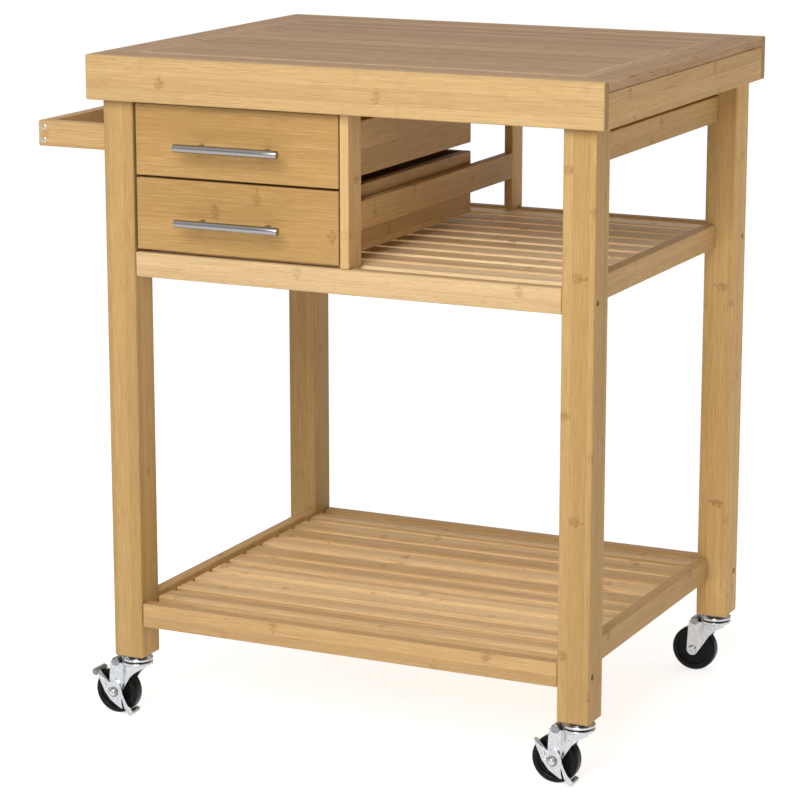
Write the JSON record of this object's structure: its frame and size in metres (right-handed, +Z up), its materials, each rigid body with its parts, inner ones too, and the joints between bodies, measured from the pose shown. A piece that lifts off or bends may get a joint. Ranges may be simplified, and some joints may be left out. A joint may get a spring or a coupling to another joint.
{
  "type": "rolling utility cart",
  "caption": "Bamboo rolling utility cart: thick worktop, drawers on the left, open bay, slatted shelves, side towel rail and swivel casters, the front ones with brake levers.",
  "frame": {"origin": "centre of the underside of the bounding box, on the floor the wheels stand on", "axes": "+X to the right along the front, +Y from the front to the back, +Z up"},
  "size_m": [0.768, 0.5746, 0.85],
  "materials": {
    "bamboo": "satin lacquer, strip grain with nodes",
    "bamboo_top": "satin lacquer, darker strip grain",
    "brushed_steel": "brushed lengthwise",
    "zinc": "bright zinc plate",
    "wheel_black": "moulded, slightly glossy"
  },
  "bodies": {
    "frame": {"caster_back_left_stem": "zinc", "caster_back_right_stem": "zinc", "caster_front_left_stem": "zinc", "caster_front_right_stem": "zinc", "divider_post_back": "bamboo", "divider_post_front": "bamboo", "drawer_runner_left_lower": "bamboo", "drawer_runner_right_lower": "bamboo", "drawer_runner_right_upper": "bamboo", "leg_back_left": "bamboo", "leg_back_right": "bamboo", "leg_front_left": "bamboo", "leg_front_right": "bamboo", "lower_shelf_rail_back": "bamboo", "lower_shelf_rail_front": "bamboo", "lower_shelf_rail_left": "bamboo", "lower_shelf_rail_right": "bamboo", "lower_shelf_slats": "bamboo", "middle_shelf_rail_back": "bamboo", "middle_shelf_rail_front": "bamboo", "middle_shelf_rail_left": "bamboo", "middle_shelf_rail_right": "bamboo", "middle_shelf_slats": "bamboo", "top_side_rail_left": "bamboo", "top_side_rail_right": "bamboo", "towel_arm_back": "bamboo", "towel_arm_front": "bamboo", "towel_bar": "bamboo", "worktop_back_board": "bamboo", "worktop_cross_batten": "bamboo", "worktop_front_board": "bamboo", "worktop_left_band": "bamboo", "worktop_right_band": "bamboo", "worktop_slab": "bamboo_top"},
    "lower_drawer": {"lower_drawer_back": "bamboo", "lower_drawer_bottom": "bamboo", "lower_drawer_front": "bamboo", "lower_drawer_pull": "brushed_steel", "lower_drawer_side_left": "bamboo", "lower_drawer_side_right": "bamboo"},
    "upper_drawer": {"upper_drawer_back": "bamboo", "upper_drawer_bottom": "bamboo", "upper_drawer_front": "bamboo", "upper_drawer_pull": "brushed_steel", "upper_drawer_side_left": "bamboo", "upper_drawer_side_right": "bamboo"},
    "caster_front_left_swivel": {"caster_front_left_fork": "zinc", "caster_front_left_axle": "zinc"},
    "caster_front_left_wheel": {"caster_front_left_wheel": "wheel_black"},
    "caster_front_right_swivel": {"caster_front_right_fork": "zinc", "caster_front_right_axle": "zinc"},
    "caster_front_right_wheel": {"caster_front_right_wheel": "wheel_black"},
    "caster_back_left_swivel": {"caster_back_left_fork": "zinc", "caster_back_left_axle": "zinc"},
    "caster_back_left_wheel": {"caster_back_left_wheel": "wheel_black"},
    "caster_back_right_swivel": {"caster_back_right_fork": "zinc", "caster_back_right_axle": "zinc"},
    "caster_back_right_wheel": {"caster_back_right_wheel": "wheel_black"},
    "caster_front_left_brake": {"caster_front_left_brake": "zinc"},
    "caster_front_right_brake": {"caster_front_right_brake": "zinc"}
  },
  "joints": [
    {"name": "lower_drawer_slide", "type": "slide", "parent": "frame", "child": "lower_drawer", "axis": [0, -1, 0], "range_m": [0, 0.3]},
    {"name": "upper_drawer_slide", "type": "slide", "parent": "frame", "child": "upper_drawer", "axis": [0, -1, 0], "range_m": [0, 0.3]},
    {"name": "caster_front_left_turn", "type": "hinge", "parent": "frame", "child": "caster_front_left_swivel", "pos_m": [-0.2605, -0.23575, 0.072], "axis": [0, 0, 1], "continuous": true},
    {"name": "caster_front_left_roll", "type": "hinge", "parent": "caster_front_left_swivel", "child": "caster_front_left_wheel", "pos_m": [-0.2885, -0.23575, 0.03], "axis": [0, 1, 0], "continuous": true},
    {"name": "caster_front_left_lever", "type": "hinge", "parent": "caster_front_left_swivel", "child": "caster_front_left_brake", "pos_m": [-0.2885, -0.25075, 0.03], "axis": [0, -1, 0], "range_deg": [0, 20]},
    {"name": "caster_front_right_turn", "type": "hinge", "parent": "frame", "child": "caster_front_right_swivel", "pos_m": [0.3485, -0.23575, 0.072], "axis": [0, 0, 1], "continuous": true},
    {"name": "caster_front_right_roll", "type": "hinge", "parent": "caster_front_right_swivel", "child": "caster_front_right_wheel", "pos_m": [0.3205, -0.23575, 0.03], "axis": [0, 1, 0], "continuous": true},
    {"name": "caster_front_right_lever", "type": "hinge", "parent": "caster_front_right_swivel", "child": "caster_front_right_brake", "pos_m": [0.3205, -0.25075, 0.03], "axis": [0, -1, 0], "range_deg": [0, 20]},
    {"name": "caster_back_left_turn", "type": "hinge", "parent": "frame", "child": "caster_back_left_swivel", "pos_m": [-0.2605, 0.25025, 0.072], "axis": [0, 0, 1], "continuous": true},
    {"name": "caster_back_left_roll", "type": "hinge", "parent": "caster_back_left_swivel", "child": "caster_back_left_wheel", "pos_m": [-0.2885, 0.25025, 0.03], "axis": [0, 1, 0], "continuous": true},
    {"name": "caster_back_right_turn", "type": "hinge", "parent": "frame", "child": "caster_back_right_swivel", "pos_m": [0.3485, 0.25025, 0.072], "axis": [0, 0, 1], "continuous": true},
    {"name": "caster_back_right_roll", "type": "hinge", "parent": "caster_back_right_swivel", "child": "caster_back_right_wheel", "pos_m": [0.3205, 0.25025, 0.03], "axis": [0, 1, 0], "continuous": true}
  ]
}
